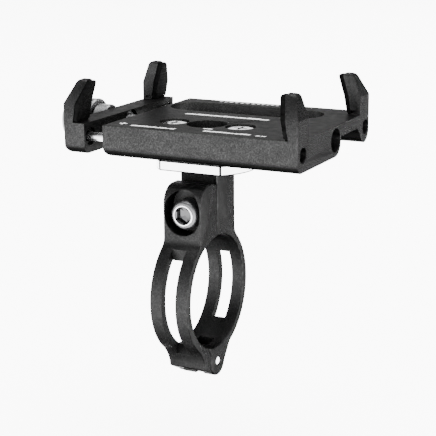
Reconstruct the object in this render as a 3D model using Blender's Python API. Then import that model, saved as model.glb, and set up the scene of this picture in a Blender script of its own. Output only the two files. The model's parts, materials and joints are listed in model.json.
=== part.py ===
"""Handlebar phone mount: a hinged two-piece clamp, a swivel block, a bed plate and a sliding jaw.

The origin is the centre of the clamp's bore. +X runs along the handlebar, +Y from the clamp's
hinged front half to its rear half, and +Z up to the phone. All lengths are in metres.
"""
import math

import bmesh
import bpy
from mathutils import Vector

MM = 0.001
GAP = 0.3 * MM                      # clearance between neighbouring pieces
RUN = 0.15 * MM                     # clearance of the hinge pin in its holes

# Handlebar clamp
BAR_RADIUS = 15.9 * MM              # bore for a 31.8 mm handlebar
RING_RADIUS = 18.2 * MM             # outside of the clamp's ring
CLAMP_HALF_WIDTH = 5.67 * MM
SPLIT_GAP = 0.35 * MM               # opening between the halves when closed
SPLIT_Y = 0.15 * MM                 # front face of the rear half
SHANK_BACK = 10.8 * MM
SHANK_TOP = 33.7 * MM
LUG_FRONT = -9.9 * MM
LUG_TOP = 31.0 * MM
BAND_SLOT_HALF = 2.1 * MM           # half width of the lightening slots round the ring
BOLT_Z = 23.1 * MM
RECESS_Z = 23.85 * MM               # centre of the head's recess
BOLT_RADIUS = 2.5 * MM
BOLT_HEAD_RADIUS = 4.15 * MM
BOLT_TIP_Y = 6.5 * MM
BOLT_HEAD_FRONT = -9.4 * MM
BOLT_SEAT_Y = -4.7 * MM             # floor of the head's recess
RECESS_RADIUS = 5.3 * MM            # half width of the head's recess
RECESS_STRETCH = 0.9 * MM           # how far its rounded ends stand above and below its centre
HINGE_Y = -0.2 * MM
HINGE_Z = -20.2 * MM
HINGE_PIN_RADIUS = 1.25 * MM
KNUCKLE_RADIUS = 4.2 * MM
TONGUE_RADIUS = 3.8 * MM
TONGUE_HALF = 2.0 * MM

# Swivel between clamp and plate
SWIVEL_Y = 5.3 * MM
BLOCK_RADIUS = 14.0 * MM
BLOCK_HALF_FLATS = 10.5 * MM
BLOCK_BOTTOM = 34.0 * MM
SWIVEL_SCREW_RADIUS = 2.0 * MM
SWIVEL_SEAT_Z = 39.6 * MM
PLATE_SCREW_X = 10.2 * MM
PLATE_SCREW_RADIUS = 1.8 * MM
PLATE_SCREW_HEAD_RADIUS = 3.65 * MM
PLATE_SCREW_SINK = 0.35 * MM        # depth of the heads below the plate's top

# Bed plate
PLATE_LEFT = -25.1 * MM
PLATE_RIGHT = 33.1 * MM
PLATE_FRONT = -8.45 * MM
PLATE_BACK = 42.3 * MM
PLATE_BOTTOM = 37.1 * MM
PLATE_TOP = 45.7 * MM
EDGE_DEPTH = 2.0 * MM               # rounding of the front bottom edge, along Y
EDGE_HEIGHT = 2.5 * MM              # and along Z
BOSS_BACK = 21.0 * MM
WEB_BOTTOM = 42.2 * MM
SLOT_FRONT = 22.9 * MM
SLOT_BACK = 36.7 * MM
SLOT_HALF_LENGTH = 23.9 * MM
CENTRE_HOLE_RADIUS = 5.6 * MM

# Sliding jaw and its drive
JAW_OUTER = -37.5 * MM
JAW_INNER = -31.0 * MM
DRIVE_Z = 41.7 * MM                 # height of the pins and the lead screw
PIN_FRONT_Y = -5.2 * MM
PIN_REAR_Y = 39.45 * MM
PIN_RADIUS = 1.25 * MM
PIN_END_X = 20.0 * MM
PIN_MOUTH_RADIUS = 2.15 * MM        # wider mouth of each pin bore, at the claw end
PIN_SEAT_RADIUS = 2.5 * MM          # shallow seat round each pin on the jaw
SCREW_Y = 17.1 * MM
LEAD_SCREW_RADIUS = 2.5 * MM
LEAD_SCREW_END_X = 25.0 * MM
SCREW_MOUTH_RADIUS = 3.3 * MM       # wider mouth of the lead screw's bore
CLIP_RADIUS = 3.7 * MM
KNOB_OUTER_X = -51.2 * MM
KNOB_INNER_X = -42.2 * MM
KNOB_RADIUS = 6.45 * MM
COLLAR_RADIUS = 5.0 * MM

# Claws, measured from the outer end face and the outer side face of the plate or jaw
CLAW_WIDTH = 7.0 * MM
CLAW_STATIONS = (                   # height, outer face, inner face, outer side, inner side
    (44.6, 0.0, 2.8, 0.0, 7.0),
    (45.7, 0.0, 2.8, 0.0, 7.0),
    (48.2, 0.0, 3.25, 0.0, 7.0),
    (50.9, 0.0, 3.65, 0.0, 7.0),
    (56.45, 2.1, 5.3, 3.65, 7.0),
    (57.0, 2.5, 5.3, 4.1, 6.8),
    (57.3, 3.1, 5.0, 4.6, 6.3),
)
PAD_STATIONS = (
    (46.0, 3.15, 4.1, 0.2, 6.9),
    (46.8, 3.35, 4.35, 0.15, 6.9),
    (48.2, 3.6, 4.65, 0.15, 6.9),
    (50.9, 3.98, 5.15, 0.15, 6.9),
    (55.8, 5.35, 6.65, 3.3, 6.9),
    (56.6, 5.65, 6.8, 3.9, 6.8),
    (57.0, 5.75, 6.5, 4.3, 6.5),
)

FINE = 40                           # sides of the large round pieces
MEDIUM = 24
COARSE = 16


# ---------------------------------------------------------------- helpers

def clear_scene():
    for obj in list(bpy.data.objects):
        bpy.data.objects.remove(obj, do_unlink=True)


def make_material(name, colour, roughness, metallic):
    material = bpy.data.materials.new(name)
    material.use_nodes = True
    shader = material.node_tree.nodes["Principled BSDF"]
    shader.inputs["Base Color"].default_value = (*colour, 1.0)
    shader.inputs["Roughness"].default_value = roughness
    shader.inputs["Metallic"].default_value = metallic
    return material


def arc(centre, radius, start_deg, end_deg, steps):
    """Points on a circle from start_deg to end_deg, both included."""
    points = []
    for i in range(steps + 1):
        angle = math.radians(start_deg + (end_deg - start_deg) * i / steps)
        points.append((centre[0] + radius * math.cos(angle), centre[1] + radius * math.sin(angle)))
    return points


def bend(start, control, end, steps):
    """Points on a quadratic curve, both ends included."""
    points = []
    for i in range(steps + 1):
        t = i / steps
        a, b, c = (1 - t) ** 2, 2 * t * (1 - t), t * t
        points.append(tuple(a * s + b * m + c * e for s, m, e in zip(start, control, end)))
    return points


def to_space(axis, along, a, b):
    """A section point placed in space: (y, z) for X, (x, z) for Y and (x, y) for Z."""
    if axis == "X":
        return Vector((along, a, b))
    if axis == "Y":
        return Vector((a, along, b))
    return Vector((a, b, along))


def prism(outline, axis, low, high):
    """A flat outline extruded along one axis."""
    bm = bmesh.new()
    verts = [bm.verts.new(to_space(axis, low, a, b)) for a, b in outline]
    face = bm.faces.new(verts)
    result = bmesh.ops.extrude_face_region(bm, geom=[face])
    moved = [item for item in result["geom"] if isinstance(item, bmesh.types.BMVert)]
    bmesh.ops.translate(bm, verts=moved, vec=to_space(axis, high - low, 0.0, 0.0))
    bmesh.ops.recalc_face_normals(bm, faces=bm.faces)
    return bm


def loft(rings):
    """A closed body through rings of the same number of points."""
    bm = bmesh.new()
    loops = [[bm.verts.new(point) for point in ring] for ring in rings]
    count = len(loops[0])
    for low, high in zip(loops, loops[1:]):
        for i in range(count):
            j = (i + 1) % count
            bm.faces.new((low[i], low[j], high[j], high[i]))
    bm.faces.new(loops[0])
    bm.faces.new(loops[-1])
    bmesh.ops.recalc_face_normals(bm, faces=bm.faces)
    return bm


def turned(profile, axis, centre, sides):
    """A body of revolution. profile holds (radius, position along the axis), closed round a hole."""
    bm = bmesh.new()
    loops = []
    for radius, along in profile:
        ring = []
        for i in range(sides):
            angle = 2 * math.pi * (i + 0.5) / sides
            a = centre[0] + radius * math.cos(angle)
            b = centre[1] + radius * math.sin(angle)
            ring.append(bm.verts.new(to_space(axis, along, a, b)))
        loops.append(ring)
    for low, high in zip(loops, loops[1:] + loops[:1]):
        for i in range(sides):
            j = (i + 1) % sides
            bm.faces.new((low[i], low[j], high[j], high[i]))
    bmesh.ops.recalc_face_normals(bm, faces=bm.faces)
    return bm


def solid_turned(profile, axis, centre, sides):
    """A body of revolution without a hole, closed by flat ends."""
    rings = []
    for radius, along in profile:
        ring = []
        for i in range(sides):
            angle = 2 * math.pi * (i + 0.5) / sides
            a = centre[0] + radius * math.cos(angle)
            b = centre[1] + radius * math.sin(angle)
            ring.append(to_space(axis, along, a, b))
        rings.append(ring)
    return loft(rings)


def rod(radius, axis, centre, low, high, sides, chamfer=0.0):
    """A round bar, with chamfered ends if asked."""
    if chamfer:
        profile = [(radius - chamfer, low), (radius, low + chamfer),
                   (radius, high - chamfer), (radius - chamfer, high)]
    else:
        profile = [(radius, low), (radius, high)]
    return solid_turned(profile, axis, centre, sides)


def add_object(name, bm, material, origin=(0.0, 0.0, 0.0), crease_deg=32):
    """Put a body into the scene with its own origin, shaded smooth up to the crease angle."""
    bmesh.ops.translate(bm, verts=bm.verts, vec=-Vector(origin))
    mesh = bpy.data.meshes.new(name)
    bm.to_mesh(mesh)
    bm.free()
    mesh.shade_smooth()
    mesh.set_sharp_from_angle(angle=math.radians(crease_deg))
    if material:
        mesh.materials.append(material)
    obj = bpy.data.objects.new(name, mesh)
    obj.location = origin
    bpy.context.scene.collection.objects.link(obj)
    return obj


def tool(bm):
    """A hidden body that cuts or joins another."""
    obj = add_object("tool", bm, None)
    obj.hide_render = True
    obj.display_type = "WIRE"
    return obj


def combine(target, bm, operation):
    modifier = target.modifiers.new(operation.title(), "BOOLEAN")
    modifier.operation = operation
    modifier.solver = "EXACT"
    modifier.object = tool(bm)


def cut(target, bm):
    combine(target, bm, "DIFFERENCE")


def join(target, bm):
    combine(target, bm, "UNION")


def box(low, high):
    outline = [(low[0], low[1]), (high[0], low[1]), (high[0], high[1]), (low[0], high[1])]
    return prism(outline, "Z", low[2], high[2])


def soften(target, width, segments=2):
    """Break the edges of a body before anything is cut into it."""
    modifier = target.modifiers.new("Bevel", "BEVEL")
    modifier.width = width
    modifier.segments = segments
    modifier.limit_method = "ANGLE"
    modifier.angle_limit = math.radians(40)


# ---------------------------------------------------------------- handlebar clamp

def rear_band_slot(start_deg, end_deg):
    """Cutter for the rear half's slot, a sector of the ring."""
    inner = arc((0, 0), BAR_RADIUS - 2 * MM, start_deg, end_deg, 12)
    outer = arc((0, 0), RING_RADIUS + 2 * MM, end_deg, start_deg, 12)
    return prism(inner + outer, "X", -BAND_SLOT_HALF, BAND_SLOT_HALF)


def front_band_slot():
    """Cutter for the front half's slot. Its upper end is a wall square to the lug's face."""
    wall = -11.4 * MM
    outline = [(wall, 9.5 * MM), (wall, 17 * MM), (-17 * MM, 17 * MM)]
    outline += arc((0, 0), RING_RADIUS + 3 * MM, 140, 239.6, 14)
    outline += arc((0, 0), BAR_RADIUS - 2.4 * MM, 239.6, 145, 14)
    return prism(outline, "X", -BAND_SLOT_HALF, BAND_SLOT_HALF)


def head_recess():
    """Cutter for the bolt head's recess, a little taller than it is wide."""
    outline = arc((0, RECESS_Z + RECESS_STRETCH), RECESS_RADIUS, 0, 180, 20)
    outline += arc((0, RECESS_Z - RECESS_STRETCH), RECESS_RADIUS, 180, 360, 20)
    return prism(outline, "Y", -14 * MM, BOLT_SEAT_Y)


def ring_fillet(side, lug_face, radius):
    """Centre of the fillet between a lug's flat face and the ring, and its angle on the ring."""
    centre_y = lug_face + side * radius
    centre_z = math.sqrt((RING_RADIUS + radius) ** 2 - centre_y ** 2)
    return (centre_y, centre_z), math.degrees(math.atan2(centre_z, centre_y))


def rear_outline():
    """Section of the rear half: shank, ring and hinge knuckle."""
    fillet = 4.0 * MM
    centre, meets = ring_fillet(1, SHANK_BACK, fillet)
    hinge = (HINGE_Y, HINGE_Z)
    split_deg = math.degrees(math.acos(SPLIT_Y / BAR_RADIUS))
    points = [(SPLIT_Y, SHANK_TOP), (SHANK_BACK, SHANK_TOP)]
    points += arc(centre, fillet, 180, 180 + meets, 5)
    points += arc((0, 0), RING_RADIUS, meets, -66, 20)[1:]
    points += arc(hinge, KNUCKLE_RADIUS, -15, -210, 16)
    points += arc((0, 0), BAR_RADIUS, -111, split_deg, 36)
    return points


def make_clamp_rear(material):
    obj = add_object("clamp_rear", prism(rear_outline(), "X", -CLAMP_HALF_WIDTH, CLAMP_HALF_WIDTH),
                     material)
    soften(obj, 0.35 * MM)
    cut(obj, rear_band_slot(-46, 28))
    slot_half = TONGUE_HALF + 0.35 * MM
    cut(obj, box((-slot_half, -7 * MM, -26 * MM), (slot_half, TONGUE_RADIUS + 0.1 * MM, -14 * MM)))
    hinge_hole = HINGE_PIN_RADIUS + RUN
    cut(obj, rod(hinge_hole, "X", (HINGE_Y, HINGE_Z), -7 * MM, 7 * MM, MEDIUM))
    cut(obj, rod(BOLT_RADIUS + 0.75 * MM, "Y", (0, BOLT_Z), -2 * MM, 9.3 * MM, MEDIUM))
    cut(obj, rod(SWIVEL_SCREW_RADIUS + GAP, "Z", (0, SWIVEL_Y), 28.1 * MM, 36 * MM, MEDIUM))
    return obj


def front_outline():
    """Section of the front half: bolt lug, ring and the block that carries the tongue."""
    back = SPLIT_Y - SPLIT_GAP
    fillet = 3.0 * MM
    crown, brow = 5.0 * MM, 1.9 * MM
    centre, meets = ring_fillet(-1, LUG_FRONT, fillet)
    hinge = (HINGE_Y, HINGE_Z)
    split_deg = math.degrees(math.acos(back / BAR_RADIUS))
    points = arc((back - brow, LUG_TOP - brow), brow, 0, 90, 4)
    points += arc((LUG_FRONT + crown, LUG_TOP - crown), crown, 90, 180, 8)
    points += arc(centre, fillet, 0, meets - 180, 4)
    points += arc((0, 0), RING_RADIUS, meets, 233.2, 20)[1:]
    points += bend(points[-1], (-8.0 * MM, -17.8 * MM), (-7.7 * MM, -20.8 * MM), 4)[1:]
    points += arc(hinge, KNUCKLE_RADIUS + 0.4 * MM, 215, 152, 6)
    points += arc((0, 0), BAR_RADIUS, 247.5, split_deg, 30)
    return points


def make_clamp_front(material):
    origin = (0.0, HINGE_Y, HINGE_Z)
    obj = add_object("clamp_front", prism(front_outline(), "X", -CLAMP_HALF_WIDTH, CLAMP_HALF_WIDTH),
                     material, origin)
    soften(obj, 0.35 * MM)
    join(obj, box((-TONGUE_HALF, -6.5 * MM, -22.2 * MM), (TONGUE_HALF, HINGE_Y, -17.0 * MM)))
    join(obj, rod(TONGUE_RADIUS, "X", (HINGE_Y, HINGE_Z), -TONGUE_HALF, TONGUE_HALF, MEDIUM))
    hinge_hole = HINGE_PIN_RADIUS + RUN
    cut(obj, rod(hinge_hole, "X", (HINGE_Y, HINGE_Z), -7 * MM, 7 * MM, MEDIUM))
    cut(obj, front_band_slot())
    cut(obj, head_recess())
    cut(obj, rod(BOLT_RADIUS + GAP, "Y", (0, BOLT_Z), -6 * MM, 2 * MM, MEDIUM))
    return obj


def make_hinge_pin(material):
    half = CLAMP_HALF_WIDTH - 0.1 * MM
    return add_object("hinge_pin", rod(HINGE_PIN_RADIUS, "X", (HINGE_Y, HINGE_Z), -half, half,
                                       MEDIUM, 0.2 * MM), material, (0.0, HINGE_Y, HINGE_Z))


def make_clamp_bolt(material):
    """Socket-head bolt with a domed head. Its hexagon socket opens towards -Y."""
    seat = BOLT_SEAT_Y - GAP
    front = BOLT_HEAD_FRONT
    profile = [(BOLT_HEAD_RADIUS - 1.6 * MM, front), (BOLT_HEAD_RADIUS - 0.7 * MM, front + 0.5 * MM),
               (BOLT_HEAD_RADIUS - 0.15 * MM, front + 1.5 * MM), (BOLT_HEAD_RADIUS, front + 2.6 * MM),
               (BOLT_HEAD_RADIUS, seat), (BOLT_RADIUS, seat),
               (BOLT_RADIUS, BOLT_TIP_Y - 0.5 * MM), (BOLT_RADIUS - 0.5 * MM, BOLT_TIP_Y)]
    bm = solid_turned(profile, "Y", (0.0, BOLT_Z), MEDIUM)
    obj = add_object("clamp_bolt", bm, material, (0.0, 0.0, BOLT_Z))
    hexagon = arc((0.0, BOLT_Z), 4.0 * MM / math.sqrt(3), 0, 300, 5)
    cut(obj, prism(hexagon, "Y", front - 1 * MM, front + 2.6 * MM))
    return obj


# ---------------------------------------------------------------- swivel

def make_swivel_block(material):
    """Round block with two flats, bolted under the plate."""
    half_deg = math.degrees(math.asin(BLOCK_HALF_FLATS / BLOCK_RADIUS))
    outline = arc((0, SWIVEL_Y), BLOCK_RADIUS, -half_deg, half_deg, 12)
    outline += arc((0, SWIVEL_Y), BLOCK_RADIUS, 180 - half_deg, 180 + half_deg, 12)
    obj = add_object("swivel_block", prism(outline, "Z", BLOCK_BOTTOM, PLATE_BOTTOM - GAP), material,
                     (0.0, SWIVEL_Y, BLOCK_BOTTOM))
    soften(obj, 0.2 * MM)
    cut(obj, rod(SWIVEL_SCREW_RADIUS + GAP, "Z", (0, SWIVEL_Y), 30 * MM, 40 * MM, MEDIUM))
    for side in (-1, 1):
        centre = (side * PLATE_SCREW_X, SWIVEL_Y)
        cut(obj, rod(PLATE_SCREW_RADIUS + GAP, "Z", centre, BLOCK_BOTTOM + 0.5 * MM, 40 * MM, COARSE))
    return obj


def make_plate_screw(name, side, material):
    """Countersunk screw that holds the plate on the swivel block, its head just below the surface."""
    top = PLATE_TOP - PLATE_SCREW_SINK
    shank, head = PLATE_SCREW_RADIUS, PLATE_SCREW_HEAD_RADIUS
    profile = [(shank, BLOCK_BOTTOM + 0.9 * MM), (shank, top - 2.2 * MM), (head, top - 0.35 * MM),
               (head, top - 0.15 * MM), (head - 0.25 * MM, top)]
    centre = (side * PLATE_SCREW_X, SWIVEL_Y)
    obj = add_object(name, solid_turned(profile, "Z", centre, MEDIUM), material, (*centre, top))
    return obj


def make_swivel_washer(material):
    low = SWIVEL_SEAT_Z + GAP
    inner, outer = SWIVEL_SCREW_RADIUS + GAP, CENTRE_HOLE_RADIUS - 0.5 * MM
    profile = [(inner, low), (outer, low), (outer, low + 0.6 * MM), (inner, low + 0.6 * MM)]
    return add_object("swivel_washer", turned(profile, "Z", (0.0, SWIVEL_Y), MEDIUM), material,
                      (0.0, SWIVEL_Y, low))


def make_swivel_screw(material):
    """Pan-head screw on the swivel's axis, threaded into the clamp's shank."""
    seat = SWIVEL_SEAT_Z + 2 * GAP + 0.6 * MM
    top = seat + 1.8 * MM
    profile = [(SWIVEL_SCREW_RADIUS, 28.5 * MM), (SWIVEL_SCREW_RADIUS, seat), (4.2 * MM, seat),
               (4.2 * MM, top - 0.9 * MM), (3.7 * MM, top - 0.3 * MM), (2.9 * MM, top)]
    obj = add_object("swivel_screw", solid_turned(profile, "Z", (0.0, SWIVEL_Y), MEDIUM), material,
                     (0.0, SWIVEL_Y, seat))
    hexagon = arc((0.0, SWIVEL_Y), 3.0 * MM / math.sqrt(3), 0, 300, 5)
    cut(obj, prism(hexagon, "Z", top - 1.3 * MM, top + 1 * MM))
    return obj


# ---------------------------------------------------------------- plate, jaw and claws

def front_edge(bottom, height):
    """The rounded front bottom edge that the plate and the jaw share, as (y, z)."""
    points = []
    for a, b in arc((0, 0), 1.0, 180, 270, 5):
        points.append((PLATE_FRONT + EDGE_DEPTH * (1 + a), bottom + height * (1 + b)))
    return points


def plate_section():
    """Section of the plate: boss round the screw, thin web, and rail round the rear pin."""
    boss, outer = 4.0 * MM, 3.6 * MM
    rail = (PIN_REAR_Y, DRIVE_Z)
    points = [(PLATE_FRONT, PLATE_TOP)]
    points += front_edge(PLATE_BOTTOM, EDGE_HEIGHT)
    points += arc((BOSS_BACK - boss, PLATE_BOTTOM + boss), boss, -90, 0, 5)
    points += [(BOSS_BACK, WEB_BOTTOM), (33.1 * MM, WEB_BOTTOM)]
    points += arc(rail, 4.4 * MM, 196, 256, 4)
    points += arc((PLATE_BACK - outer, PLATE_BOTTOM + 0.2 * MM + outer), outer, -90, 0, 5)
    points.append((PLATE_BACK, PLATE_TOP))
    return points


def corner_round(x, z, radius, y_low, y_high):
    """Cutter that rounds the bottom edge at the low-X end of a bar."""
    spare = 1.0 * MM
    outline = [(x - spare, z - spare), (x + radius, z - spare)]
    outline += arc((x + radius, z + radius), radius, 270, 180, 6)
    outline.append((x - spare, z + radius))
    return prism(outline, "Y", y_low - spare, y_high + spare)


def claw_body(stations, end_x, end_step, side_y, side_step):
    """Claw or pad lofted through its stations, measured inwards from its corner."""
    rings = []
    for height, outer, inner, side_out, side_in in stations:
        x0, x1 = end_x + end_step * outer * MM, end_x + end_step * inner * MM
        y0, y1 = side_y + side_step * side_out * MM, side_y + side_step * side_in * MM
        z = height * MM
        rings.append([Vector((x0, y0, z)), Vector((x1, y0, z)), Vector((x1, y1, z)), Vector((x0, y1, z))])
    return loft(rings)


def claw_corners(end_x, end_step):
    """The two corners that carry claws: end, its inward step, side face and its inward step."""
    return (("front", end_x, end_step, PLATE_FRONT, 1), ("rear", end_x, end_step, PLATE_BACK, -1))


def add_claws(target, end_x, end_step):
    """Join both claws to their bar, and cut the relief groove at the rear claw's root."""
    for _, x, x_step, y, y_step in claw_corners(end_x, end_step):
        join(target, claw_body(CLAW_STATIONS, x, x_step, y, y_step))
    groove_y = PLATE_BACK - CLAW_WIDTH
    low_x, high_x = sorted((end_x + end_step * 0.9 * MM, end_x + end_step * 5 * MM))
    cut(target, box((low_x, groove_y - 2 * MM, 46.1 * MM), (high_x, groove_y + 0.8 * MM, 46.9 * MM)))


def plate_slot(half_length, front, back):
    """Cutter for the long slot. It stops just under the web, above the rail's pin."""
    radius = (back - front) / 2
    middle, reach = (back + front) / 2, half_length - radius
    outline = arc((reach, middle), radius, -90, 90, 12)
    outline += arc((-reach, middle), radius, 90, 270, 12)
    return prism(outline, "Z", WEB_BOTTOM - 0.4 * MM, 50 * MM)


def make_base_plate(material):
    origin = (0.0, SWIVEL_Y, PLATE_BOTTOM)
    obj = add_object("base_plate", prism(plate_section(), "X", PLATE_LEFT, PLATE_RIGHT), material, origin)
    add_claws(obj, PLATE_RIGHT, -1)
    cut(obj, corner_round(PLATE_LEFT, PLATE_BOTTOM, 2.2 * MM, PLATE_FRONT, PLATE_BACK))
    cut(obj, plate_slot(SLOT_HALF_LENGTH, SLOT_FRONT, SLOT_BACK))
    cut(obj, rod(CENTRE_HOLE_RADIUS, "Z", (0, SWIVEL_Y), SWIVEL_SEAT_Z, 50 * MM, FINE))
    cut(obj, rod(SWIVEL_SCREW_RADIUS + GAP, "Z", (0, SWIVEL_Y), 35 * MM, 41 * MM, MEDIUM))
    for side in (-1, 1):
        centre = (side * PLATE_SCREW_X, SWIVEL_Y)
        top = PLATE_TOP - PLATE_SCREW_SINK
        hole, sink = PLATE_SCREW_RADIUS + GAP, PLATE_SCREW_HEAD_RADIUS + 0.55 * MM
        profile = [(hole, 35 * MM), (hole, top - 2.5 * MM), (sink, top - 0.4 * MM), (sink, 50 * MM)]
        cut(obj, solid_turned(profile, "Z", centre, MEDIUM))
    for y in (PIN_FRONT_Y, PIN_REAR_Y):
        cut(obj, rod(PIN_RADIUS + GAP, "X", (y, DRIVE_Z), -40 * MM, 40 * MM, COARSE))
        cut(obj, rod(PIN_MOUTH_RADIUS, "X", (y, DRIVE_Z), PLATE_RIGHT - 1.5 * MM, 40 * MM, COARSE))
    cut(obj, rod(LEAD_SCREW_RADIUS + GAP, "X", (SCREW_Y, DRIVE_Z), -40 * MM, 40 * MM, MEDIUM))
    cut(obj, rod(SCREW_MOUTH_RADIUS, "X", (SCREW_Y, DRIVE_Z), PLATE_RIGHT - 12 * MM, 40 * MM, MEDIUM))
    return obj


def jaw_section():
    """Section of the jaw's bar, with the plate's front edge and a rounded rear bottom edge."""
    outer = 3.6 * MM
    points = [(PLATE_FRONT, PLATE_TOP)]
    points += front_edge(PLATE_BOTTOM, EDGE_HEIGHT)
    points += arc((PLATE_BACK - outer, PLATE_BOTTOM + outer), outer, -90, 0, 5)
    points.append((PLATE_BACK, PLATE_TOP))
    return points


def make_sliding_jaw(material):
    origin = (JAW_INNER, SCREW_Y, DRIVE_Z)
    obj = add_object("sliding_jaw", prism(jaw_section(), "X", JAW_OUTER, JAW_INNER), material, origin)
    add_claws(obj, JAW_OUTER, 1)
    cut(obj, corner_round(JAW_OUTER, PLATE_BOTTOM, 2.2 * MM, PLATE_FRONT, PLATE_BACK))
    for y in (PIN_FRONT_Y, PIN_REAR_Y):
        cut(obj, rod(PIN_RADIUS + GAP, "X", (y, DRIVE_Z), JAW_OUTER + 0.7 * MM, -20 * MM, COARSE))
        cut(obj, rod(PIN_SEAT_RADIUS, "X", (y, DRIVE_Z), JAW_INNER - 0.8 * MM, -20 * MM, MEDIUM))
    cut(obj, rod(LEAD_SCREW_RADIUS + GAP, "X", (SCREW_Y, DRIVE_Z), -60 * MM, -20 * MM, MEDIUM))
    cut(obj, rod(CLIP_RADIUS + GAP, "X", (SCREW_Y, DRIVE_Z), JAW_INNER - 2.2 * MM, -20 * MM, MEDIUM))
    return obj


def make_pad(name, end_x, end_step, side_y, side_step, material):
    bm = claw_body(PAD_STATIONS, end_x, end_step, side_y, side_step)
    origin = (end_x + end_step * 4 * MM, side_y + side_step * CLAW_WIDTH / 2, PLATE_TOP)
    obj = add_object(name, bm, material, origin)
    soften(obj, 0.25 * MM)
    return obj


# ---------------------------------------------------------------- jaw drive

def make_guide_pin(name, y, material):
    bm = rod(PIN_RADIUS, "X", (y, DRIVE_Z), JAW_OUTER + 1.0 * MM, PIN_END_X, COARSE, 0.3 * MM)
    return add_object(name, bm, material, (JAW_INNER, y, DRIVE_Z))


def make_lead_screw(material):
    bm = rod(LEAD_SCREW_RADIUS, "X", (SCREW_Y, DRIVE_Z), KNOB_OUTER_X + 1.7 * MM, LEAD_SCREW_END_X,
             MEDIUM, 0.5 * MM)
    return add_object("lead_screw", bm, material, (JAW_INNER, SCREW_Y, DRIVE_Z))


def make_thumb_knob(material):
    """Knurled knob, pressed on the end of the lead screw."""
    bore, rim = LEAD_SCREW_RADIUS + GAP, 0.4 * MM
    profile = [(KNOB_RADIUS - rim, KNOB_OUTER_X), (KNOB_RADIUS, KNOB_OUTER_X + rim),
               (KNOB_RADIUS, KNOB_INNER_X - rim), (KNOB_RADIUS - rim, KNOB_INNER_X)]
    bm = solid_turned(profile, "X", (SCREW_Y, DRIVE_Z), FINE)
    obj = add_object("thumb_knob", bm, material, (KNOB_INNER_X, SCREW_Y, DRIVE_Z))
    cut(obj, rod(bore, "X", (SCREW_Y, DRIVE_Z), KNOB_OUTER_X + 1.4 * MM, -30 * MM, MEDIUM))
    return obj


def make_knob_washer(material):
    low, high = KNOB_INNER_X + GAP, JAW_OUTER - GAP
    inner = LEAD_SCREW_RADIUS + GAP
    profile = [(inner, low), (COLLAR_RADIUS, low), (COLLAR_RADIUS, high), (inner, high)]
    return add_object("knob_washer", turned(profile, "X", (SCREW_Y, DRIVE_Z), MEDIUM), material,
                      (JAW_OUTER, SCREW_Y, DRIVE_Z))


def make_retaining_clip(material):
    """Ring that keeps the lead screw in the jaw."""
    high = JAW_INNER - 0.9 * MM
    inner, outer = LEAD_SCREW_RADIUS + GAP, CLIP_RADIUS
    profile = [(inner, high - 1 * MM), (outer, high - 1 * MM), (outer, high), (inner, high)]
    return add_object("screw_retaining_clip", turned(profile, "X", (SCREW_Y, DRIVE_Z), MEDIUM),
                      material, (JAW_INNER, SCREW_Y, DRIVE_Z))


def build():
    clear_scene()
    black = make_material("black_anodised", (0.035, 0.035, 0.037), 0.5, 0.6)
    rubber = make_material("rubber", (0.02, 0.02, 0.02), 0.8, 0.0)
    bright = make_material("bright_aluminium", (0.85, 0.85, 0.86), 0.25, 1.0)
    steel = make_material("steel", (0.6, 0.6, 0.61), 0.3, 1.0)

    make_clamp_rear(black)
    make_clamp_front(black)
    make_hinge_pin(steel)
    make_clamp_bolt(steel)

    make_swivel_block(bright)
    make_plate_screw("plate_screw_left", -1, steel)
    make_plate_screw("plate_screw_right", 1, steel)
    make_swivel_washer(steel)
    make_swivel_screw(steel)

    make_base_plate(black)
    make_sliding_jaw(black)
    for prefix, end_x, end_step in (("pad_fixed_", PLATE_RIGHT, -1), ("pad_jaw_", JAW_OUTER, 1)):
        for place, x, x_step, y, y_step in claw_corners(end_x, end_step):
            make_pad(prefix + place, x, x_step, y, y_step, rubber)

    make_guide_pin("guide_pin_front", PIN_FRONT_Y, steel)
    make_guide_pin("guide_pin_rear", PIN_REAR_Y, steel)
    make_lead_screw(steel)
    make_thumb_knob(steel)
    make_knob_washer(steel)
    make_retaining_clip(steel)


build()
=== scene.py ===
"""Handlebar phone mount: looks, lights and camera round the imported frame.

The black parts keep their CAD shape and gain broken edges, and only the front lug's joint face
stands back a little. The fasteners, the lead screw, the knob and the pads are modelled again here
with their thread, knurl, sockets and ribs.
"""
import json
import math
import random

import bmesh
import bpy
from mathutils import Matrix, Vector


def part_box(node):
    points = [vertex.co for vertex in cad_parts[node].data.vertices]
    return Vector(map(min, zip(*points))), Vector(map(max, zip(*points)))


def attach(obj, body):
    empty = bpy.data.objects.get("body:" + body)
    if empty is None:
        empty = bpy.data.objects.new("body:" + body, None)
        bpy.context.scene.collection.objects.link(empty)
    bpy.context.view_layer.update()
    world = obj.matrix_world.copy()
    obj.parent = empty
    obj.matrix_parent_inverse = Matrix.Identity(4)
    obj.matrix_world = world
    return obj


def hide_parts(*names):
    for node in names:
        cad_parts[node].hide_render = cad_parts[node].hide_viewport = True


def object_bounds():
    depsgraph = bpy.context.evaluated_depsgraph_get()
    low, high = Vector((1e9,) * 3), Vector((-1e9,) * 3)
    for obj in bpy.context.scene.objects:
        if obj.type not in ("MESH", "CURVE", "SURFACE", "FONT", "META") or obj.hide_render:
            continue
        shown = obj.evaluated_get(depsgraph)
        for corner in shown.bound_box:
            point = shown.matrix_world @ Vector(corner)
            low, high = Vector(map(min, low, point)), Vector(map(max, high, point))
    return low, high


MM = 0.001
SEED = 7
FLAT_ANGLE = math.radians(0.1)      # faces closer than this in direction are one face
SMOOTH_ANGLE = math.radians(35)     # faces that meet at less than this are shaded as one
BREAK_ANGLE = math.radians(38)      # edges sharper than this are broken
SLIVER = 0.4 * MM                   # faces narrower than this round an edge
MAIN = 0                            # material number of most of a piece
EDGES, JOINT_SHADE = 1, 2                 # material numbers on the black parts and the swivel block; edges and joint faces carry painted shade
RECESS, HEAD = 1, 2                 # material numbers on the screws
KNOB_ENDS = 1                       # material number on the knob
SCREW_SIDES = 96                    # points round a screw's head and its recess
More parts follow.
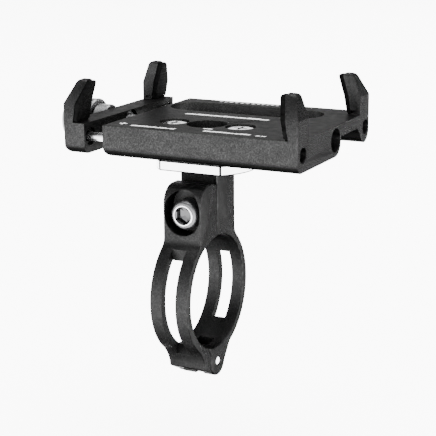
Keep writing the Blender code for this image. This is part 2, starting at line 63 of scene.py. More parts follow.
LUG_BOTTOM = 16.5 * MM              # the clamp's lugs are above this height
LUG_OPENING = 0.3 * MM              # how much further back the front lug stands than in the CAD
SCREW_HEAD_DEPTH = 0.35 * MM        # how far the plate screws' heads lie under the plate's face
PAD_CORNER = 0.35 * MM              # radius of a pad's edges on the phone's side
PAD_SINK = 0.27 * MM                # how far a pad goes back and down to meet its claw
PAD_MARGIN = 0.02 * MM              # a pad's first and last outline stand this far inside its box
PAD_STEP = 0.11 * MM                # height between a pad's outlines
RIB_PITCH, RIB_DEPTH = 0.9 * MM, 0.07 * MM
PLAIN_FOOT, PLAIN_TIP = 0.7 * MM, 0.9 * MM      # heights at a pad's ends that have no ribs
FLOOR_DROP = 21 * MM                # room under the clamp for its front half to swing open
FLOOR_LIGHT, SURROUND_LIGHT = 6.5, 6.2

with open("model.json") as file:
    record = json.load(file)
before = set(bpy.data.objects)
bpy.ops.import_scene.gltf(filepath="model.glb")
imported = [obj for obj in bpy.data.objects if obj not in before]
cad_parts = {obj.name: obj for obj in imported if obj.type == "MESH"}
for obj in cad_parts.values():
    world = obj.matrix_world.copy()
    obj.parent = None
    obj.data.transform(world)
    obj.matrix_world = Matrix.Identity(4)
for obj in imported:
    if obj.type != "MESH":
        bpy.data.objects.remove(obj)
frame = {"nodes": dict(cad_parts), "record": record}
nodes = frame["nodes"]
CAD_BOX = [list(corner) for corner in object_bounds()]
BODY_OF = {n: body for body, ns in frame["record"]["behaviour"]["bodies"].items() for n in ns}


# ---------------------------------------------------------------- shader helpers

def new_material(name, metallic, roughness):
    """A material with its node tree and its shader."""
    material = bpy.data.materials.new(name)
    material.use_nodes = True
    shader = material.node_tree.nodes["Principled BSDF"]
    shader.inputs["Metallic"].default_value = metallic
    shader.inputs["Roughness"].default_value = roughness
    return material, material.node_tree, shader


def noise(tree, scale, detail=2.0, stretch=(1.0, 1.0, 1.0)):
    """Noise fixed to the piece. scale is in cells per metre, and stretch squeezes it per axis."""
    place = tree.nodes.new("ShaderNodeTexCoord")
    mapping = tree.nodes.new("ShaderNodeMapping")
    mapping.inputs["Scale"].default_value = stretch
    texture = tree.nodes.new("ShaderNodeTexNoise")
    texture.inputs["Scale"].default_value = scale
    texture.inputs["Detail"].default_value = detail
    tree.links.new(place.outputs["Object"], mapping.inputs["Vector"])
    tree.links.new(mapping.outputs["Vector"], texture.inputs["Vector"])
    return texture.outputs["Fac"]


def ramp(tree, factor, stops):
    """Colour ramp from (position, grey or colour) pairs."""
    node = tree.nodes.new("ShaderNodeValToRGB")
    elements = node.color_ramp.elements
    while len(elements) < len(stops):
        elements.new(0.5)
    for element, (position, value) in zip(elements, stops):
        colour = value if isinstance(value, tuple) else (value, value, value)
        element.position = position
        element.color = (*colour, 1.0)
    tree.links.new(factor, node.inputs["Fac"])
    return node.outputs["Color"]


def multiply(tree, a, b):
    """Product of two colours."""
    node = tree.nodes.new("ShaderNodeMix")
    node.data_type = "RGBA"
    node.blend_type = "MULTIPLY"
    node.inputs["Factor"].default_value = 1.0
    tree.links.new(a, node.inputs["A"])
    tree.links.new(b, node.inputs["B"])
    return node.outputs["Result"]


def bump(tree, shader, height, strength, distance):
    """Tilt the shader's normal by a height. distance is how high a height of 1 stands."""
    node = tree.nodes.new("ShaderNodeBump")
    node.inputs["Strength"].default_value = strength
    node.inputs["Distance"].default_value = distance
    tree.links.new(height, node.inputs["Height"])
    tree.links.new(node.outputs["Normal"], shader.inputs["Normal"])


# ---------------------------------------------------------------- materials

EDGE_ON_TINT = (0.4, 0.4, 0.4, 1.0)     # dark surfaces stay dark where they are seen edge-on


def painted_underside_shade(tree, sloping_shade, downturned_shade):
    """Painted shade: factor that falls from 1 on upright faces to its least value on faces turned down."""
    place = tree.nodes.new("ShaderNodeTexCoord")
    split = tree.nodes.new("ShaderNodeSeparateXYZ")
    spread = tree.nodes.new("ShaderNodeMapRange")
    spread.inputs["From Min"].default_value = -1.0
    tree.links.new(place.outputs["Normal"], split.inputs["Vector"])
    tree.links.new(split.outputs["Z"], spread.inputs["Value"])
    return ramp(tree, spread.outputs["Result"], ((0.1, downturned_shade), (0.34, sloping_shade), (0.47, 1.0)))


def black_anodised(name, tone, roughness, sloping_shade, downturned_shade):
    """Bead-blasted and anodised black: fine sparkling grain over faint larger clouds, with painted shade
    that darkens faces as they turn down.
    """
    material, tree, shader = new_material(name, 1.0, roughness)
    shader.inputs["Specular Tint"].default_value = EDGE_ON_TINT
    grain = ramp(tree, noise(tree, 4200, 3.0), ((0.3, tone * 0.5), (0.5, tone), (0.7, tone * 2.0)))
    clouds = ramp(tree, noise(tree, 160, 3.0), ((0.3, 0.85), (0.7, 1.0)))
    # Faint clouds of tone, times painted shade on faces that turn down.
    shade = multiply(tree, clouds, painted_underside_shade(tree, sloping_shade, downturned_shade))
    tree.links.new(multiply(tree, grain, shade), shader.inputs["Base Color"])
    sheen = ramp(tree, noise(tree, 420, 2.0), ((0.3, roughness - 0.06), (0.7, roughness + 0.06)))
    tree.links.new(sheen, shader.inputs["Roughness"])
    bump(tree, shader, noise(tree, 5200, 2.0), 0.2, 0.03 * MM)
    return material


def edge_wear_and_painted_shade(name, tone, roughness):
    """Rubbed edge of the anodised parts, a little smoother and paler in worn patches, with painted shade on
    faces turned down. A low tone paints edges dark as shade.
    """
    material, tree, shader = new_material(name, 1.0, roughness)
    shader.inputs["Specular Tint"].default_value = EDGE_ON_TINT
    patches = ramp(tree, noise(tree, 700, 3.0), ((0.42, tone), (0.62, tone * 2.0), (0.78, tone * 3.5)))
    tree.links.new(multiply(tree, patches, painted_underside_shade(tree, 0.3, 0.1)), shader.inputs["Base Color"])
    bump(tree, shader, noise(tree, 4200, 2.0), 0.2, 0.03 * MM)
    return material


def metal(name, tone, roughness, grain_stretch=(1.0, 1.0, 1.0), spread=0.08):
    """Bare metal with fine machining marks, squeezed along the axes that grain_stretch says."""
    material, tree, shader = new_material(name, 1.0, roughness)
    marks = noise(tree, 900, 3.0, grain_stretch)
    low, high = tuple(c * 0.86 for c in tone), tone
    tree.links.new(ramp(tree, marks, ((0.3, low), (0.65, high))), shader.inputs["Base Color"])
    rough = ramp(tree, marks, ((0.3, max(roughness - spread, 0.03)), (0.7, roughness + spread)))
    tree.links.new(rough, shader.inputs["Roughness"])
    bump(tree, shader, marks, 0.12, 0.02 * MM)
    return material


def moulded_rubber(name):
    """Matt black rubber with a faint mottle and a rough skin."""
    material, tree, shader = new_material(name, 0.0, 0.85)
    shader.inputs["Specular IOR Level"].default_value = 0.02
    shader.inputs["Specular Tint"].default_value = EDGE_ON_TINT
    mottle = ramp(tree, noise(tree, 900, 3.0), ((0.3, 0.0006), (0.7, 0.0032)))
    tree.links.new(mottle, shader.inputs["Base Color"])
    rough = ramp(tree, noise(tree, 1800, 2.0), ((0.3, 0.75), (0.7, 0.95)))
    tree.links.new(rough, shader.inputs["Roughness"])
    bump(tree, shader, noise(tree, 2600, 3.0), 0.4, 0.06 * MM)
    return material


def printed_ink(name):
    """White print, a little worn."""
    material, tree, shader = new_material(name, 0.0, 0.55)
    worn = ramp(tree, noise(tree, 1500, 3.0), ((0.3, 0.42), (0.55, 0.68)))
    tree.links.new(worn, shader.inputs["Base Color"])
    bump(tree, shader, noise(tree, 4000, 2.0), 0.2, 0.02 * MM)
    return material


# The last two numbers of each anodised black set its painted shade on slanting faces and on downturned
# faces.
BLACK = black_anodised("anodised_black", 0.0165, 0.46, 0.22, 0.06)
CLAMP_BLACK = black_anodised("anodised_clamp", 0.0148, 0.46, 0.7, 0.35)
# Painted shade: the clamp halves' joint faces, far darker than the rest, for the shade in the joint.
JOINT_PAINTED_SHADE = black_anodised("anodised_joint_painted_shade", 0.004, 0.5, 0.7, 0.35)
# Painted shade: the broken edges are toned darker than the faces to hold down their highlights; their worn
# patches are paler.
EDGE_WEAR_AND_SHADE = edge_wear_and_painted_shade("anodised_edge_wear_and_shade", 0.010, 0.40)
# Painted shade: near-black rims and edges that draw the bright block's outline as dark lines.
BLOCK_EDGE_SHADE = edge_wear_and_painted_shade("block_painted_edge_shade", 0.002, 0.6)
RUBBER = moulded_rubber("pad_rubber")
POLISHED = metal("polished_aluminium", (0.80, 0.80, 0.81), 0.22, (1.0, 1.0, 6.0))
GROUND = metal("ground_steel", (0.50, 0.50, 0.51), 0.24, (6.0, 1.0, 1.0), 0.04)
TURNED = metal("turned_steel", (0.17, 0.17, 0.174), 0.28, (10.0, 1.0, 1.0))
KNURL = metal("knurled_steel", (0.10, 0.10, 0.102), 0.32)
CHROME = metal("chrome_plate", (0.62, 0.62, 0.63), 0.12, spread=0.04)
DARK_STEEL = metal("oxidised_steel", (0.05, 0.05, 0.052), 0.38)
# Painted shade: the recess walls of the plated screws, far darker than the plating round them.
SOCKET_SHADE = metal("socket_wall_painted_shade", (0.06, 0.06, 0.062), 0.14)
# Painted shade: the plated bolt's dome, much darker than its bright rim.
DOME_SHADE = metal("bolt_dome_painted_shade", (0.11, 0.11, 0.113), 0.42)
INK = printed_ink("white_print")


# ---------------------------------------------------------------- piece helpers

def add_piece(name, bm, materials, body, stands_for=()):
    """Put a mesh into the scene, ride it on a body and hide the CAD nodes it stands for."""
    bmesh.ops.recalc_face_normals(bm, faces=bm.faces)
    mesh = bpy.data.meshes.new(name)
    bm.to_mesh(mesh)
    bm.free()
    mesh.shade_smooth()
    mesh.set_sharp_from_angle(angle=SMOOTH_ANGLE)
    for material in materials:
        mesh.materials.append(material)
    piece = bpy.data.objects.new(name, mesh)
    bpy.context.scene.collection.objects.link(piece)
    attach(piece, body)
    if stands_for:
        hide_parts(*stands_for)
    return piece


def stand_in(name, node, bm, *materials):
    """A piece in place of one CAD node, on the same body."""
    return add_piece(name, bm, materials, BODY_OF[node], (node,))


def from_node(node):
    """A clean copy of a CAD node's mesh, with its flat faces whole again."""
    bm = bmesh.new()
    bm.from_mesh(nodes[node].data)
    bmesh.ops.remove_doubles(bm, verts=bm.verts, dist=0.002 * MM)
    flat = [e for e in bm.edges if len(e.link_faces) == 2 and e.calc_face_angle(0) < FLAT_ANGLE]
    bmesh.ops.dissolve_edges(bm, edges=flat, use_verts=False)
    for face in bm.faces:
        face.material_index = MAIN
    return bm


def paint_slivers(bm):
    """Give the material for edges to the long thin faces that round a part's edges."""
    for face in bm.faces:
        if face.calc_area() / (face.calc_perimeter() / 2) < SLIVER:
            face.material_index = EDGES


def break_edges(piece, width):
    """Bevel a piece's sharp edges, in the material for edges."""
    modifier = piece.modifiers.new("broken_edges", "BEVEL")
    modifier.width = width
    modifier.segments = 2
    modifier.limit_method = "ANGLE"
    modifier.angle_limit = BREAK_ANGLE
    modifier.material = EDGES
    return modifier


def paint_joint_shade(bm, facing, opening):
    """Paint a clamp half's joint face, which turns along facing * Y, dark as shade in the joint, and stand
    it back a little.
    """
    bm.normal_update()
    joint = [face for face in bm.faces
             if face.normal.y * facing > 0.99 and face.calc_center_median().z > LUG_BOTTOM]
    for face in joint:
        face.material_index = JOINT_SHADE
    for vert in {vert for face in joint for vert in face.verts}:
        vert.co.y -= facing * opening


def with_broken_edges(name, node, width, black, facing=0, opening=0):
    """The CAD node with its sharp edges broken, and its joint face painted dark as shade if it has one."""
    bm = from_node(node)
    paint_slivers(bm)
    if facing:
        paint_joint_shade(bm, facing, opening)
    piece = stand_in(name, node, bm, black, EDGE_WEAR_AND_SHADE, JOINT_PAINTED_SHADE)
    break_edges(piece, width).harden_normals = True


def round_node(node, axis):
    """A round CAD node's two ends along its axis, its centre across the axis and its radius."""
    low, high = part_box(node)
    along = "XYZ".index(axis)
    a, b = (k for k in range(3) if k != along)
    return low[along], high[along], ((low[a] + high[a]) / 2, (low[b] + high[b]) / 2), (high[b] - low[b]) / 2


def to_axis(axis, along, a, b):
    """(y, z) section placed along X, (x, z) along Y, or (x, y) along Z."""
    return {"X": Vector((along, a, b)), "Y": Vector((a, along, b)), "Z": Vector((a, b, along))}[axis]


def lathe(bm, profile, axis, centre, sides=72, material=MAIN):
    """Surface of revolution from (radius, position along the axis). A zero radius closes it."""
    rings = []
    for radius, along in profile:
        if radius == 0:
            rings.append([bm.verts.new(to_axis(axis, along, *centre))])
            continue
        ring = []
        for i in range(sides):
            angle = 2 * math.pi * i / sides
            point = (centre[0] + radius * math.cos(angle), centre[1] + radius * math.sin(angle))
            ring.append(bm.verts.new(to_axis(axis, along, *point)))
        rings.append(ring)
    skin(bm, rings, material)
    return rings


def skin(bm, rings, material=MAIN):
    """Faces between neighbouring closed rings. A ring of one point makes a fan."""
    for low, high in zip(rings, rings[1:]):
        count = max(len(low), len(high))
        for i in range(count):
            j = (i + 1) % count
            corners = [low[i % len(low)], low[j % len(low)], high[j % len(high)], high[i % len(high)]]
            face = bm.faces.new(list(dict.fromkeys(corners)))
            face.material_index = material


def rounded(radius, low, high, edge, steps=4):
    """Profile of a round bar from low to high, both end edges rounded, closed on the axis."""
    profile = [(0, low)]
    for i in range(steps + 1):
        a = math.pi / 2 * i / steps
        profile.append((radius - edge * (1 - math.sin(a)), low + edge * (1 - math.cos(a))))
    for i in range(steps + 1):
        a = math.pi / 2 * i / steps
        profile.append((radius - edge * (1 - math.cos(a)), high - edge * (1 - math.sin(a))))
    profile.append((0, high))
    return profile


def polar(radius_at, count, axis, along, centre):
    """Closed ring of points whose radius is a function of the angle."""
    ring = []
    for i in range(count):
        angle = 2 * math.pi * i / count
        radius = radius_at(angle)
        ring.append(to_axis(axis, along, centre[0] + radius * math.cos(angle),
                            centre[1] + radius * math.sin(angle)))
    return ring


def hexagon_radius(flat):
    """Radius of a hexagon with the given half distance across flats, as a function of the angle."""
    return lambda angle: flat / math.cos((angle + math.pi / 6) % (math.pi / 3) - math.pi / 6)


def cross_radius(reach, half_width, round_radius):
    """Radius of a rounded cross recess as a function of the angle."""
    def radius(angle):
        a = (angle + math.pi / 4) % (math.pi / 2) - math.pi / 4
        along = reach / max(math.cos(a), 1e-6)
        side = half_width / max(abs(math.sin(a)), 1e-6)
        return max(min(along, side), round_radius)
    return radius


def recess_rings(bm, mouth, shapes, tip, axis, centre):
    """Rings of a recess in a screw's head, from the one at its mouth to its pointed floor.

    shapes holds (radius as a function of the angle, place along the axis) on the way down, and
    tip is where the floor ends.
    """
    rings = [mouth]
    for shape, along in shapes:
        rings.append([bm.verts.new(p) for p in polar(shape, SCREW_SIDES, axis, along, centre)])
    rings.append([bm.verts.new(to_axis(axis, tip, *centre))])
    return rings


def socketed_head(bm, outer, shapes, tip, centre):
    """Screw head along Z. outer holds (radius, height) from the underside to the recess's rim."""
    rings = lathe(bm, outer, "Z", centre, SCREW_SIDES)
    recess = recess_rings(bm, rings[-1], shapes, tip, "Z", centre)
    skin(bm, recess[:2])
    skin(bm, recess[1:], RECESS)


def thread(bm, radius, pitch, axis, centre, low, high, sides=24):
    """Screw thread as one helical sweep, with flat crests and roots."""
    depth = 0.55 * pitch
    levels = ((0.0, radius), (0.18, radius), (0.5, radius - depth), (0.62, radius - depth))
    turns = int((high - low) / pitch) - 1
    rows = []
    for k in range(turns * sides + 1):
        angle = 2 * math.pi * k / sides
        row = []
        for share, r in levels:
            along = low + pitch * (k / sides + share)
            row.append(bm.verts.new(to_axis(axis, along, centre[0] + r * math.cos(angle),
                                            centre[1] + r * math.sin(angle))))
        rows.append(row)
    for k in range(len(rows) - 1):
        a, b = rows[k], rows[k + 1]
        for i in range(3):
            bm.faces.new((a[i], b[i], b[i + 1], a[i + 1]))
        if k + sides + 1 < len(rows):
            c, d = rows[k + sides], rows[k + sides + 1]
            bm.faces.new((a[3], b[3], d[0], c[0]))


# ---------------------------------------------------------------- black parts

def add_black_parts():
    """The plate, the jaw and the two clamp halves."""
    with_broken_edges("bed_plate_body", "base_plate", 0.2 * MM, BLACK)
    with_broken_edges("sliding_jaw_body", "sliding_jaw", 0.2 * MM, BLACK)
    with_broken_edges("clamp_rear_body", "clamp_rear", 0.12 * MM, CLAMP_BLACK, -1)
    with_broken_edges("clamp_front_body", "clamp_front", 0.12 * MM, CLAMP_BLACK, 1, LUG_OPENING)


# ---------------------------------------------------------------- bolt, pins and rings

def add_clamp_bolt():
    """Plated cap screw: domed head, bright rim, hexagon socket, threaded shank. The dome and the socket's
    walls are painted dark as shade.
    """
    front, tip, centre, head = round_node("clamp_bolt", "Y")
    rim, mouth, dome_depth = 2.9 * MM, 2.55 * MM, 1.6 * MM
    seat = front + 4.4 * MM
    bm = bmesh.new()
    dome = [(2.3 * MM, seat), (head - 0.2 * MM, seat), (head, seat - 0.2 * MM)]
    for i in range(9):
        a = math.pi / 2 * i / 8
        dome.append((rim + (head - rim) * math.cos(a), front + 0.3 * MM + dome_depth * (1 - math.sin(a))))
    face = [(rim, front + 0.1 * MM), (rim - 0.1 * MM, front), (mouth, front)]
    rings = lathe(bm, dome, "Y", centre, SCREW_SIDES, HEAD)
    rings = rings[-1:] + lathe(bm, face, "Y", centre, SCREW_SIDES)
    skin(bm, rings[:2])
    hexagon = hexagon_radius(2.0 * MM)
    shapes = ((hexagon, front + 0.5 * MM), (hexagon, front + 2.5 * MM))
    skin(bm, recess_rings(bm, rings[-1], shapes, front + 3.1 * MM, "Y", centre), RECESS)
    thread(bm, 2.45 * MM, 0.8 * MM, "Y", centre, seat - 0.2 * MM, tip - 0.1 * MM)
    lathe(bm, rounded(1.98 * MM, seat - 0.3 * MM, tip, 0.4 * MM), "Y", centre, 32)
    stand_in("clamp_bolt_body", "clamp_bolt", bm, CHROME, SOCKET_SHADE, DOME_SHADE)


def add_pin(node, edge, sides, material):
    """Plain pin along X with rounded ends."""
    start, end, centre, radius = round_node(node, "X")
    bm = bmesh.new()
    lathe(bm, rounded(radius, start, end, edge), "X", centre, sides)
    stand_in(node + "_body", node, bm, material)


def add_ring(node, name, axis, inner, edge, material):
    """Turned ring with chamfered outer edges."""
    start, end, centre, outer = round_node(node, axis)
    profile = [(inner, start), (outer - edge, start), (outer, start + edge), (outer, end - edge),
               (outer - edge, end), (inner, end), (inner, start)]
    bm = bmesh.new()
    lathe(bm, profile, axis, centre)
    stand_in(name, node, bm, material)


# ---------------------------------------------------------------- swivel and its screws

def add_swivel_block():
    """Bright block with painted shade: thin dark rims round its sides and dark edges."""
    bm = from_node("swivel_block")
    bm.normal_update()
    sides = [face for face in bm.faces if abs(face.normal.z) < 0.2 and face.calc_area() > 2 * MM ** 2]
    # Thin inset rims round the side faces, painted dark as shade.
    rim = bmesh.ops.inset_region(bm, faces=sides, thickness=0.14 * MM, use_even_offset=True)
    paint_slivers(bm)
    for face in rim["faces"]:
        face.material_index = EDGES
    block = stand_in("swivel_block_body", "swivel_block", bm, POLISHED, BLOCK_EDGE_SHADE)
    break_edges(block, 0.28 * MM)


def add_swivel_screw():
    """Dark screw with a low domed head and a hexagon socket."""
    foot, top, centre, head = round_node("swivel_screw", "Z")
    crown, seat = 2.2 * MM, top - 1.8 * MM
    outer = [(1.8 * MM, seat), (head - 0.1 * MM, seat)]
    for i in range(7):
        a = math.pi / 2 * i / 6
        outer.append((crown + (head - crown) * math.cos(a), seat + 0.5 * MM + 1.3 * MM * math.sin(a)))
    hexagon = hexagon_radius(1.5 * MM)
    shapes = ((hexagon, top - 0.1 * MM), (hexagon, top - 1.2 * MM))
    bm = bmesh.new()
    socketed_head(bm, outer, shapes, top - 1.5 * MM, centre)
    thread(bm, 1.95 * MM, 0.7 * MM, "Z", centre, foot + 0.1 * MM, seat + 0.3 * MM)
    lathe(bm, rounded(1.5 * MM, foot, seat + 0.2 * MM, 0.3 * MM), "Z", centre, 32)
    stand_in("swivel_screw_body", "swivel_screw", bm, DARK_STEEL, DARK_STEEL)


def add_plate_screw(node):
    """Countersunk screw with a rounded cross recess, its walls painted dark as shade."""
    foot, top, centre, head = round_node(node, "Z")
    outer = [(1.7 * MM, top - 2.2 * MM), (head - 0.04 * MM, top - 0.42 * MM), (head, top - 0.3 * MM),
             (head - 0.05 * MM, top - 0.14 * MM), (head - 0.3 * MM, top - 0.02 * MM), (2.6 * MM, top)]
    cross = cross_radius(2.0 * MM, 0.42 * MM, 0.75 * MM)
    deep = cross_radius(1.2 * MM, 0.34 * MM, 0.5 * MM)
    bm = bmesh.new()
    socketed_head(bm, outer, ((cross, top), (deep, top - 1.1 * MM)), top - 1.4 * MM, centre)
    thread(bm, 1.75 * MM, 0.5 * MM, "Z", centre, foot + 0.1 * MM, top - 2.2 * MM, 20)
    lathe(bm, rounded(1.45 * MM, foot, top - 2.0 * MM, 0.3 * MM), "Z", centre, 28)
    stand_in(node + "_body", node, bm, CHROME, SOCKET_SHADE)


# ---------------------------------------------------------------- jaw drive

def add_lead_screw():
    """Screw with a plain length from the knob to the jaw, and a thread from there to its end."""
    start, end, centre, radius = round_node("lead_screw", "X")
    thread_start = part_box("sliding_jaw")[1].x - 1.0 * MM
    bm = bmesh.new()
    thread(bm, radius, 0.8 * MM, "X", centre, thread_start, end)
    lathe(bm, rounded(radius - 0.42 * MM, thread_start - 0.2 * MM, end, 0.5 * MM), "X", centre, 40)
    lathe(bm, rounded(radius, start, thread_start + 0.3 * MM, 0.3 * MM), "X", centre, 48)
    stand_in("lead_screw_body", "lead_screw", bm, TURNED)


def wave(turns):
    """Triangle wave from 0 to 1."""
    return abs((turns % 1.0) * 2 - 1)


def add_thumb_knob():
    """Knob with a diamond knurl between two chamfered rims, and a turned face."""
    start, end, centre, radius = round_node("thumb_knob", "X")
    diamonds, depth, lean = 44, 0.32 * MM, 0.9 * MM
    rim, chamfer = 0.75 * MM, 0.35 * MM
    rows, sides = 34, diamonds * 6
    knurl_start, knurl_end = start + rim, end - rim
    bm = bmesh.new()
    rings = []
    for row in range(rows + 1):
        share = row / rows
        along = knurl_start + (knurl_end - knurl_start) * share
        fade = min(1.0, 6 * share, 6 * (1 - share))

        def knurled(angle, along=along, fade=fade):
            turns = diamonds * angle / (2 * math.pi)
            a, b = wave(turns + along / lean / 2), wave(turns - along / lean / 2)
            return radius - depth * fade * (1 - min(a, b)) - 0.4 * depth * (1 - fade)
        rings.append([bm.verts.new(p) for p in polar(knurled, sides, "X", along, centre)])
    skin(bm, rings)
    outer_end = [(radius, knurl_start), (radius, start + chamfer), (radius - chamfer, start),
                 (radius - 1.5 * MM, start), (radius - 1.7 * MM, start + 0.25 * MM),
                 (2.4 * MM, start + 0.25 * MM), (2.2 * MM, start + 0.1 * MM), (0, start + 0.1 * MM)]
    inner_end = [(radius, knurl_end), (radius, end - chamfer), (radius - chamfer, end), (2.85 * MM, end)]
    for profile, edge in ((outer_end, rings[0]), (inner_end, rings[-1])):
        rim_rings = lathe(bm, profile, "X", centre, sides, KNOB_ENDS)
        skin(bm, [edge, rim_rings[0]], KNOB_ENDS)
    stand_in("thumb_knob_body", "thumb_knob", bm, KNURL, TURNED)


# ---------------------------------------------------------------- pads

def section_box(node, height):
    """Lowest and highest (x, y) of a CAD node where a level plane cuts it."""
    bm = bmesh.new()
    bm.from_mesh(nodes[node].data)
    everything = list(bm.verts) + list(bm.edges) + list(bm.faces)
    made = bmesh.ops.bisect_plane(bm, geom=everything, plane_co=(0, 0, height), plane_no=(0, 0, 1))
    points = [v.co.copy() for v in made["geom_cut"] if isinstance(v, bmesh.types.BMVert)]
    bm.free()
    xs, ys = [p.x for p in points], [p.y for p in points]
    return min(xs), min(ys), max(xs), max(ys)


def pad_outline(bm, node, height, inward, groove):
    """A pad's outline at one height, rounded towards the phone and sunk a little into the claw."""
    x0, y0, x1, y1 = section_box(node, height)
    back, face = (x1, x0) if inward < 0 else (x0, x1)
    back -= inward * PAD_SINK
    radius = min(PAD_CORNER, (y1 - y0) / 4, abs(face - back) / 3)
    points = []
    for centre_y, start in ((y0 + radius, -90), (y1 - radius, 0)):
        for i in range(5):
            a = math.radians(start + 90 * i / 4)
            x = face - inward * radius + inward * radius * math.cos(a)
            if math.cos(a) > 0:
                x -= inward * groove * math.cos(a) ** 0.5
            points.append((x, centre_y + radius * math.sin(a)))
    points += [(back, y1 - radius * 0.3), (back, y0 + radius * 0.3)]
    return [bm.verts.new((x, y, height)) for x, y in points]


def add_pad(node):
    """Rubber pad that follows its claw upwards, with faint ribs towards the phone."""
    low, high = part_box(node)
    inward = -1 if low.x > 0 else 1
    steps = int((high.z - low.z - 2 * PAD_MARGIN) / PAD_STEP)
    bm = bmesh.new()
    rings = []
    for k in range(steps + 1):
        height = low.z + PAD_MARGIN + PAD_STEP * k
        above_foot, below_tip = height - low.z - PLAIN_FOOT, high.z - PLAIN_TIP - height
        groove = 0.0
        if above_foot > 0 and below_tip > 0:
            groove = RIB_DEPTH * (0.5 - 0.5 * math.cos(2 * math.pi * above_foot / RIB_PITCH)) ** 0.6
        rings.append(pad_outline(bm, node, height, inward, groove))
    foot = [bm.verts.new(v.co - Vector((0, 0, PAD_SINK))) for v in rings[0]]
    skin(bm, [foot] + rings)
    bm.faces.new(foot)
    middle = sum((v.co for v in rings[-1]), Vector()) / len(rings[-1])
    crown = [bm.verts.new(v.co.lerp(middle, 0.25) + Vector((0, 0, PAD_MARGIN))) for v in rings[-1]]
    skin(bm, [rings[-1], crown])
    bm.faces.new(crown)
    stand_in(node + "_body", node, bm, RUBBER)


# ---------------------------------------------------------------- printed marks

def add_bar(bm, x, y, length, height, lean, z, thickness):
    """One printed bar: a thin slab, leaning like a slash."""
    corners = [(x, y), (x + length, y), (x + length + lean, y + height), (x + lean, y + height)]
    low = [bm.verts.new((a, b, z)) for a, b in corners]
    top = [bm.verts.new((a, b, z + thickness)) for a, b in corners]
    bm.faces.new(low[::-1])
    bm.faces.new(top)
    for i in range(4):
        j = (i + 1) % 4
        bm.faces.new((low[i], low[j], top[j], top[i]))


def add_printed_marks():
    """Plain white slashes and dashes on the plate, where the photographed one has its print."""
    rng = random.Random(SEED)
    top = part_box("plate_screw_left")[1].z + SCREW_HEAD_DEPTH
    thickness = 0.02 * MM
    rows = (                          # start x, y, end x, height, bar length, gap, in mm
        (-18.0, -5.5, -4.6, 1.25, 0.9, 0.25),
        (3.8, -4.7, 16.8, 1.25, 0.95, 0.25),
        (19.4, -5.0, 22.3, 0.9, 1.1, 0.5),
        (2.2, -1.4, 5.0, 0.7, 2.5, 0.3),
        (-13.2, 16.9, 12.0, 1.6, 1.15, 0.22),
        (-13.6, 39.9, 5.4, 1.0, 0.8, 0.9),
    )
    bm = bmesh.new()
    for start, y, end, height, length, gap in rows:
        x = start
        while x < end:
            bar = length * rng.uniform(0.7, 1.25)
            drop = rng.choice((0.0, 0.0, 0.15, 0.3)) * height
            add_bar(bm, x * MM, y * MM, bar * MM, (height - drop) * MM, 0.25 * height * MM, top, thickness)
            x += bar + gap
    add_bar(bm, -22.6 * MM, -3.6 * MM, 2.4 * MM, 0.5 * MM, 0, top, thickness)
    add_bar(bm, -21.7 * MM, -4.5 * MM, 0.5 * MM, 2.4 * MM, 0, top, thickness * 0.9)
    add_piece("printed_marks", bm, (INK,), BODY_OF["base_plate"])


# ---------------------------------------------------------------- camera, floor and lights

def add_camera():
    """Long lens, a little above the plate and to its right, seen from the bolt's side."""
    yaw, pitch, roll = (math.radians(a) for a in (27.06, 14.47, -0.48))
    distance, across, rise = 0.3663, 0.0052, 0.0197
    forward = Vector((-math.sin(yaw) * math.cos(pitch), math.cos(yaw) * math.cos(pitch),
                      -math.sin(pitch)))
    right = Vector((math.cos(yaw), math.sin(yaw), 0.0))
    up = right.cross(forward)
    position = -forward * distance + right * across + up * rise
    right_rolled = right * math.cos(roll) + up * math.sin(roll)
    up_rolled = up * math.cos(roll) - right * math.sin(roll)
    data = bpy.data.cameras.new("camera")
    data.sensor_width = 36.0
    data.lens = 108.55
    data.clip_start = 0.01
    camera = bpy.data.objects.new("camera", data)
    turn = Matrix((right_rolled, up_rolled, -forward)).transposed().to_4x4()
    camera.matrix_world = Matrix.Translation(position) @ turn
    bpy.context.scene.collection.objects.link(camera)
    bpy.context.scene.camera = camera


def add_floor():
    """Pale seamless light table under the mount, clear of the opened clamp."""
    half, height = 3.0, CAD_BOX[0][2] - FLOOR_DROP
    bm = bmesh.new()
    bm.faces.new([bm.verts.new((x * half, y * half, height))
                  for x, y in ((-1, -1), (1, -1), (1, 1), (-1, 1))])
    mesh = bpy.data.meshes.new("floor")
    bm.to_mesh(mesh)
    bm.free()
    material, tree, shader = new_material("pale_floor", 0.0, 0.9)
    shader.inputs["Specular IOR Level"].default_value = 0.0
    shader.inputs["Emission Color"].default_value = (1.0, 1.0, 1.0, 1.0)
    shader.inputs["Emission Strength"].default_value = FLOOR_LIGHT
    shade = ramp(tree, noise(tree, 6, 1.0), ((0.3, 0.90), (0.7, 0.93)))
    tree.links.new(shade, shader.inputs["Base Color"])
    mesh.materials.append(material)
    floor = bpy.data.objects.new("floor", mesh)
    bpy.context.scene.collection.objects.link(floor)


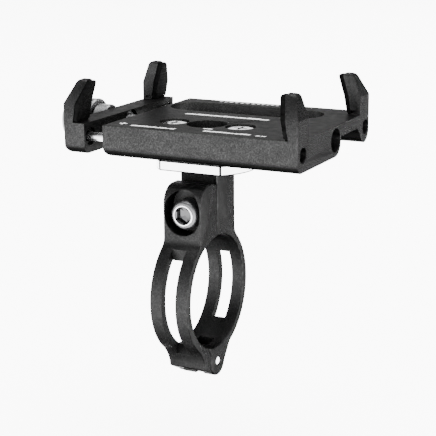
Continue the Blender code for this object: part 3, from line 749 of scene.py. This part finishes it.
def add_area(name, azimuth, elevation, distance, size, power):
    """Square soft light aimed at the object. Azimuth 0 is the bolt's side, growing towards +X."""
    a, e = math.radians(azimuth), math.radians(elevation)
    away = Vector((math.sin(a) * math.cos(e), -math.cos(a) * math.cos(e), math.sin(e)))
    data = bpy.data.lights.new(name, "AREA")
    data.size = size
    data.energy = power
    light = bpy.data.objects.new(name, data)
    target = Vector((0.0, 0.01, 0.02))
    light.location = target + away * distance
    light.rotation_euler = away.to_track_quat("Z", "Y").to_euler()
    bpy.context.scene.collection.objects.link(light)


def add_world():
    """Studio surround: bright in front of the object near the horizon, dim above and behind."""
    world = bpy.data.worlds.new("studio")
    bpy.context.scene.world = world
    world.use_nodes = True
    tree = world.node_tree
    background = tree.nodes["Background"]
    place = tree.nodes.new("ShaderNodeTexCoord")
    split = tree.nodes.new("ShaderNodeSeparateXYZ")
    tree.links.new(place.outputs["Generated"], split.inputs["Vector"])
    rise = ramp(tree, split.outputs["Z"], ((0.0, 1.0), (0.3, 0.9), (0.6, 0.08), (1.0, 0.3)))
    spread = tree.nodes.new("ShaderNodeMapRange")
    spread.inputs["From Min"].default_value = -1.0
    tree.links.new(split.outputs["Y"], spread.inputs["Value"])
    sides = ramp(tree, spread.outputs["Result"], ((0.1, 1.0), (0.6, 0.7), (1.0, 0.35)))
    tree.links.new(multiply(tree, rise, sides), background.inputs["Color"])
    background.inputs["Strength"].default_value = SURROUND_LIGHT


add_black_parts()
add_clamp_bolt()
add_pin("hinge_pin", 0.35 * MM, 40, CHROME)
add_swivel_block()
add_swivel_screw()
add_ring("swivel_washer", "swivel_washer_body", "Z", 2.3 * MM, 0.12 * MM, DARK_STEEL)
add_plate_screw("plate_screw_left")
add_plate_screw("plate_screw_right")
add_lead_screw()
add_thumb_knob()
add_ring("knob_washer", "knob_collar", "X", 2.8 * MM, 0.3 * MM, TURNED)
add_ring("screw_retaining_clip", "retaining_clip_body", "X", 2.8 * MM, 0.12 * MM, DARK_STEEL)
add_pin("guide_pin_front", 0.3 * MM, 48, GROUND)
add_pin("guide_pin_rear", 0.3 * MM, 48, GROUND)
for pad in ("pad_fixed_front", "pad_fixed_rear", "pad_jaw_front", "pad_jaw_rear"):
    add_pad(pad)
add_printed_marks()

add_camera()
add_floor()
add_world()
add_area("overhead", 180, 72, 1.5, 1.6, 85)
